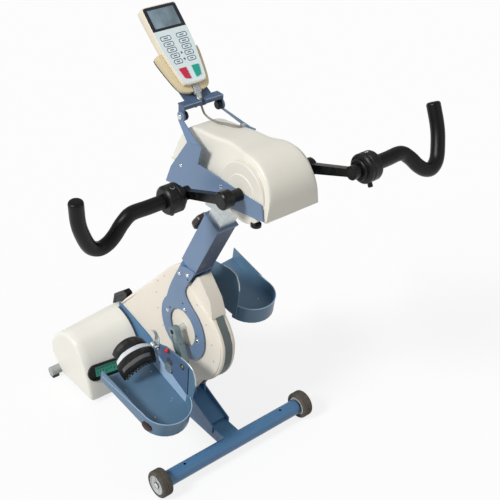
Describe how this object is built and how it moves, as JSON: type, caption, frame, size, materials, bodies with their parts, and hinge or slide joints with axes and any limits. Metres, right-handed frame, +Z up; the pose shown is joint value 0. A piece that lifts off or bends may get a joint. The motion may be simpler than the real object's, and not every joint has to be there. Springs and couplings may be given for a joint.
{
  "type": "active passive trainer",
  "caption": "Floor-standing motorised leg and arm trainer with a wheeled base, two foot shells, a leaning column, two curved hand grips and a corded handset.",
  "frame": {"origin": "centre of the footprint box, on the floor", "axes": "+Z up, -Y toward the user, +X to the user's right"},
  "size_m": [0.8836, 0.9156, 1.2235],
  "materials": {
    "blue_paint": "satin blue-grey powder coat",
    "steel_blue_paint": "satin steel-blue powder coat",
    "shell_blue": "blue-teal painted sheet",
    "cream_plastic": "warm cream moulded casing",
    "white_plastic": "cream-white moulded casing",
    "black_plastic": "satin black",
    "brown_black_plastic": "brown-black moulded knob",
    "grip_foam": "satin black foam sleeve",
    "tyre_rubber": "worn grey-brown rubber",
    "foot_rubber": "matte rubber",
    "grey_plastic": "light grey moulded plastic",
    "zinc_steel": "galvanised steel",
    "grey_steel": "grey-green painted steel",
    "drum_green": "dark grey-green painted drum",
    "tan_plastic": "tan-yellow moulded cradle",
    "red_plastic": "red key and button",
    "green_plastic": "green key",
    "teal_label": "teal printed strip",
    "lcd_glass": "grey-blue display window",
    "cuff_rubber": "black padded cuff",
    "belt_rubber": "black toothed belt",
    "cord_pvc": "grey cord sheath"
  },
  "bodies": {
    "base": {"base_frame": "steel_blue_paint", "rear_housing": "white_plastic", "rear_floor_plate": "zinc_steel", "rear_cross_tube": "grey_plastic", "rear_foot_left": "foot_rubber", "rear_foot_right": "foot_rubber", "slot_bezel": "black_plastic", "slot_label": "teal_label", "mains_inlet": "black_plastic", "rear_grip": "black_plastic", "leg_cover_left": "cream_plastic", "leg_cover_right": "cream_plastic", "yoke_left": "blue_paint", "yoke_right": "blue_paint", "drive_belt": "belt_rubber", "leg_motor": "grey_steel", "leg_hood": "cream_plastic", "outer_column": "blue_paint"},
    "front_slider": {"front_crossbar": "steel_blue_paint", "wheel_left_axle": "black_plastic", "wheel_right_axle": "black_plastic"},
    "wheel_left": {"wheel_left_tyre": "tyre_rubber", "wheel_left_hub": "grey_plastic"},
    "wheel_right": {"wheel_right_tyre": "tyre_rubber", "wheel_right_hub": "grey_plastic"},
    "leg_drive": {"leg_drum": "drum_green", "leg_axle": "zinc_steel", "leg_crank_left": "grey_steel", "leg_crank_right": "grey_steel"},
    "motor_pulley": {"motor_pulley": "black_plastic"},
    "foot_left": {"foot_shell_left": "shell_blue", "cuff_bracket": "zinc_steel"},
    "foot_right": {"foot_shell_right": "shell_blue"},
    "instep_cuff": {"instep_strap": "cuff_rubber", "instep_pad": "cuff_rubber"},
    "release_button": {"release_button": "red_plastic"},
    "arm_unit": {"inner_column": "zinc_steel", "arm_housing": "cream_plastic", "arm_motor": "grey_steel", "arm_plate_left": "blue_paint", "arm_plate_right": "blue_paint", "handset_cord": "cord_pvc"},
    "column_knob": {"column_knob": "brown_black_plastic"},
    "adjuster_foot": {"adjuster_foot": "black_plastic"},
    "arm_drive": {"arm_axle": "zinc_steel", "arm_crank_left": "black_plastic", "arm_crank_right": "black_plastic"},
    "handgrip_left": {"clamp_left": "black_plastic", "grip_left": "grip_foam"},
    "handgrip_right": {"clamp_right": "black_plastic", "grip_right": "grip_foam"},
    "tilt_bracket": {"handset_bracket": "blue_paint", "cradle": "tan_plastic"},
    "bracket_knob_left": {"bracket_knob_left": "black_plastic"},
    "bracket_knob_right": {"bracket_knob_right": "black_plastic"},
    "handset": {"handset_body": "cream_plastic", "handset_screen": "lcd_glass", "cord_plug": "grey_plastic"},
    "key_stop": {"key_stop": "red_plastic"},
    "key_start": {"key_start": "green_plastic"}
  },
  "joints": [
    {"name": "base_slide", "type": "slide", "parent": "base", "child": "front_slider", "axis": [0, -1, 0], "range_m": [0, 0.1]},
    {"name": "wheel_left_spin", "type": "hinge", "parent": "front_slider", "child": "wheel_left", "pos_m": [-0.256, -0.18664, 0.04], "axis": [1, 0, 0], "continuous": true},
    {"name": "wheel_right_spin", "type": "hinge", "parent": "front_slider", "child": "wheel_right", "pos_m": [0.256, -0.18664, 0.04], "axis": [1, 0, 0], "continuous": true},
    {"name": "leg_spin", "type": "hinge", "parent": "base", "child": "leg_drive", "pos_m": [0, 0.01626, 0.343], "axis": [1, 0, 0], "continuous": true},
    {"name": "motor_pulley_spin", "type": "hinge", "parent": "base", "child": "motor_pulley", "pos_m": [0, 0.30176, 0.15], "axis": [1, 0, 0], "continuous": true},
    {"name": "foot_left_turn", "type": "hinge", "parent": "leg_drive", "child": "foot_left", "pos_m": [-0.106, -0.0246, 0.26281], "axis": [1, 0, 0], "continuous": true},
    {"name": "foot_right_turn", "type": "hinge", "parent": "leg_drive", "child": "foot_right", "pos_m": [0.106, 0.05712, 0.42319], "axis": [1, 0, 0], "continuous": true},
    {"name": "instep_cuff_lift", "type": "hinge", "parent": "foot_left", "child": "instep_cuff", "pos_m": [-0.122, 0.03243, 0.31107], "axis": [0, 0.977, 0.213], "range_deg": [0, 70]},
    {"name": "release_button_press", "type": "slide", "parent": "foot_left", "child": "release_button", "axis": [1, 0, 0], "range_m": [0, 0.003], "stiffness_N_per_m": 800, "springref_m": -0.001},
    {"name": "column_height", "type": "slide", "parent": "base", "child": "arm_unit", "axis": [0, -0.454, 0.891], "range_m": [-0.04, 0.06]},
    {"name": "column_knob_turn", "type": "hinge", "parent": "base", "child": "column_knob", "pos_m": [0, -0.03677, 0.69234], "axis": [0, 0.891, 0.454], "range_deg": [-180, 360]},
    {"name": "adjuster_foot_screw", "type": "slide", "parent": "arm_unit", "child": "adjuster_foot", "axis": [0, 0, -1], "range_m": [0, 0.01]},
    {"name": "arm_spin", "type": "hinge", "parent": "arm_unit", "child": "arm_drive", "pos_m": [0, -0.26224, 0.929], "axis": [1, 0, 0], "continuous": true},
    {"name": "handgrip_left_turn", "type": "hinge", "parent": "arm_drive", "child": "handgrip_left", "pos_m": [-0.15, -0.11425, 0.87367], "axis": [1, 0, 0], "continuous": true},
    {"name": "handgrip_right_turn", "type": "hinge", "parent": "arm_drive", "child": "handgrip_right", "pos_m": [0.15, -0.41023, 0.98433], "axis": [1, 0, 0], "continuous": true},
    {"name": "handset_tilt", "type": "hinge", "parent": "arm_unit", "child": "tilt_bracket", "pos_m": [0, -0.01024, 1.014], "axis": [1, 0, 0], "range_deg": [-25, 20]},
    {"name": "bracket_knob_left_turn", "type": "hinge", "parent": "arm_unit", "child": "bracket_knob_left", "pos_m": [-0.06, -0.01024, 1.014], "axis": [1, 0, 0], "range_deg": [-180, 180]},
    {"name": "bracket_knob_right_turn", "type": "hinge", "parent": "arm_unit", "child": "bracket_knob_right", "pos_m": [0.06, -0.01024, 1.014], "axis": [1, 0, 0], "range_deg": [-180, 180]},
    {"name": "handset_lift", "type": "slide", "parent": "tilt_bracket", "child": "handset", "axis": [0, 0.7322, 0.6811], "range_m": [0, 0.06]},
    {"name": "key_stop_press", "type": "slide", "parent": "handset", "child": "key_stop", "axis": [0, 0.6811, -0.7322], "range_m": [0, 0.001], "stiffness_N_per_m": 900, "springref_m": -0.0005},
    {"name": "key_start_press", "type": "slide", "parent": "handset", "child": "key_start", "axis": [0, 0.6811, -0.7322], "range_m": [0, 0.001], "stiffness_N_per_m": 900, "springref_m": -0.0005}
  ],
  "couplings": [
    {"joint": "motor_pulley_spin", "follows": "leg_spin", "ratio": 6.5}
  ]
}
